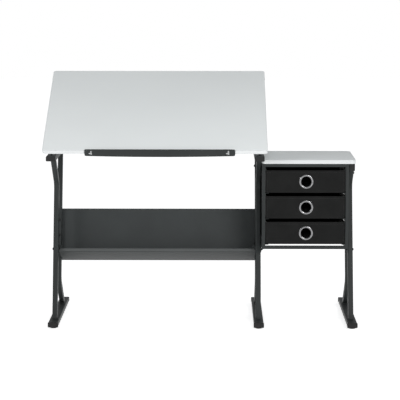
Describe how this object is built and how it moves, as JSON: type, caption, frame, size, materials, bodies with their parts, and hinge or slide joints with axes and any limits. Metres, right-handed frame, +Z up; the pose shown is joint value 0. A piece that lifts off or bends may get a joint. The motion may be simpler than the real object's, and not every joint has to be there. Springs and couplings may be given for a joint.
{
  "type": "drafting table",
  "caption": "Drafting table with a tilting white drawing board, front pencil ledge, fixed side top over fabric drawers, folded book trough and bent steel legs.",
  "frame": {"origin": "centre of the footprint, on the floor", "axes": "+X to the user's right along the long side, +Y to the back, +Z up"},
  "size_m": [1.289, 0.5636, 1.0304],
  "materials": {
    "powder_coat": "satin charcoal powder coat",
    "black_plastic": "moulded matt black",
    "zinc_steel": "bright zinc plate",
    "black_oxide": "black oxide steel",
    "black_rubber": "matt",
    "white_laminate": "white melamine laminate on fibreboard",
    "white_edge_band": "satin white edge band",
    "black_fabric": "black non-woven fabric over board",
    "base_board": "black covered fibreboard",
    "nickel_grommet": "polished nickel"
  },
  "bodies": {
    "frame": {"left_foot_tube": "powder_coat", "left_front_leg": "powder_coat", "left_rear_leg": "powder_coat", "mid_foot_tube": "powder_coat", "mid_front_leg": "powder_coat", "mid_rear_leg": "powder_coat", "right_foot_tube": "powder_coat", "right_front_leg": "powder_coat", "right_rear_leg": "powder_coat", "left_top_tube": "powder_coat", "mid_top_tube": "powder_coat", "right_top_tube": "powder_coat", "foot_end_caps": "black_plastic", "top_tube_end_caps": "black_plastic", "rear_crossbar": "powder_coat", "hinge_brackets": "powder_coat", "hinge_bolts": "black_oxide", "prop_slide_rails": "powder_coat", "rest_pads": "black_rubber", "book_trough": "powder_coat", "trough_ears": "powder_coat", "trough_bolts": "black_oxide", "side_top": "white_laminate", "side_top_edge_band": "white_edge_band", "side_top_screws": "zinc_steel", "cage_uprights": "powder_coat", "cage_cross_rails": "powder_coat", "cage_side_rails": "powder_coat", "drawer_runners": "powder_coat", "cage_tabs": "powder_coat", "cage_bolts": "black_oxide"},
    "drawing_board": {"main_top": "white_laminate", "main_top_edge_band": "white_edge_band", "board_hinge_leaves": "powder_coat", "prop_brackets": "powder_coat", "pivot_pins": "zinc_steel", "board_screws": "zinc_steel", "ledge_screws": "zinc_steel"},
    "ledge": {"pencil_ledge": "powder_coat"},
    "prop": {"prop_arm_left": "powder_coat", "prop_arm_right": "powder_coat", "prop_cross_rod": "zinc_steel"},
    "knob_left": {"clamp_knob_left": "black_plastic"},
    "knob_right": {"clamp_knob_right": "black_plastic"},
    "drawer_1": {"drawer_1_box": "black_fabric", "drawer_1_base_board": "base_board", "drawer_1_grommet": "nickel_grommet"},
    "drawer_2": {"drawer_2_box": "black_fabric", "drawer_2_base_board": "base_board", "drawer_2_grommet": "nickel_grommet"},
    "drawer_3": {"drawer_3_box": "black_fabric", "drawer_3_base_board": "base_board", "drawer_3_grommet": "nickel_grommet"},
    "leveler_left_front": {"leveler_left_front": "black_plastic"},
    "leveler_left_rear": {"leveler_left_rear": "black_plastic"},
    "leveler_mid_front": {"leveler_mid_front": "black_plastic"},
    "leveler_mid_rear": {"leveler_mid_rear": "black_plastic"},
    "leveler_right_front": {"leveler_right_front": "black_plastic"},
    "leveler_right_rear": {"leveler_right_rear": "black_plastic"}
  },
  "joints": [
    {"name": "top_tilt", "type": "hinge", "parent": "frame", "child": "drawing_board", "pos_m": [-0.612, -0.23829, 0.73242], "axis": [1, 0, 0], "range_deg": [-28, 7]},
    {"name": "prop_swing", "type": "hinge", "parent": "drawing_board", "child": "prop", "pos_m": [-0.612, -0.02639, 0.8451], "axis": [1, 0, 0], "range_deg": [-14, 56]},
    {"name": "knob_left_turn", "type": "hinge", "parent": "prop", "child": "knob_left", "pos_m": [-0.612, 0.18552, 0.73242], "axis": [1, 0, 0], "continuous": true},
    {"name": "knob_right_turn", "type": "hinge", "parent": "prop", "child": "knob_right", "pos_m": [0.2375, 0.18552, 0.73242], "axis": [1, 0, 0], "continuous": true},
    {"name": "ledge_height", "type": "slide", "parent": "drawing_board", "child": "ledge", "axis": [0, -0.4695, 0.8829], "range_m": [-0.01, 0]},
    {"name": "drawer_1_slide", "type": "slide", "parent": "frame", "child": "drawer_1", "axis": [0, -1, 0], "range_m": [0, 0.26]},
    {"name": "drawer_2_slide", "type": "slide", "parent": "frame", "child": "drawer_2", "axis": [0, -1, 0], "range_m": [0, 0.26]},
    {"name": "drawer_3_slide", "type": "slide", "parent": "frame", "child": "drawer_3", "axis": [0, -1, 0], "range_m": [0, 0.26]},
    {"name": "leveler_left_front_turn", "type": "hinge", "parent": "frame", "child": "leveler_left_front", "pos_m": [-0.612, -0.22016, 0], "axis": [0, 0, 1], "continuous": true},
    {"name": "leveler_left_rear_turn", "type": "hinge", "parent": "frame", "child": "leveler_left_rear", "pos_m": [-0.612, 0.25584, 0], "axis": [0, 0, 1], "continuous": true},
    {"name": "leveler_mid_front_turn", "type": "hinge", "parent": "frame", "child": "leveler_mid_front", "pos_m": [0.2375, -0.22016, 0], "axis": [0, 0, 1], "continuous": true},
    {"name": "leveler_mid_rear_turn", "type": "hinge", "parent": "frame", "child": "leveler_mid_rear", "pos_m": [0.2375, 0.25584, 0], "axis": [0, 0, 1], "continuous": true},
    {"name": "leveler_right_front_turn", "type": "hinge", "parent": "frame", "child": "leveler_right_front", "pos_m": [0.623, -0.22016, 0], "axis": [0, 0, 1], "continuous": true},
    {"name": "leveler_right_rear_turn", "type": "hinge", "parent": "frame", "child": "leveler_right_rear", "pos_m": [0.623, 0.25584, 0], "axis": [0, 0, 1], "continuous": true}
  ],
  "couplings": [
    {"joint": "prop_swing", "follows": "top_tilt", "ratio": -2}
  ]
}
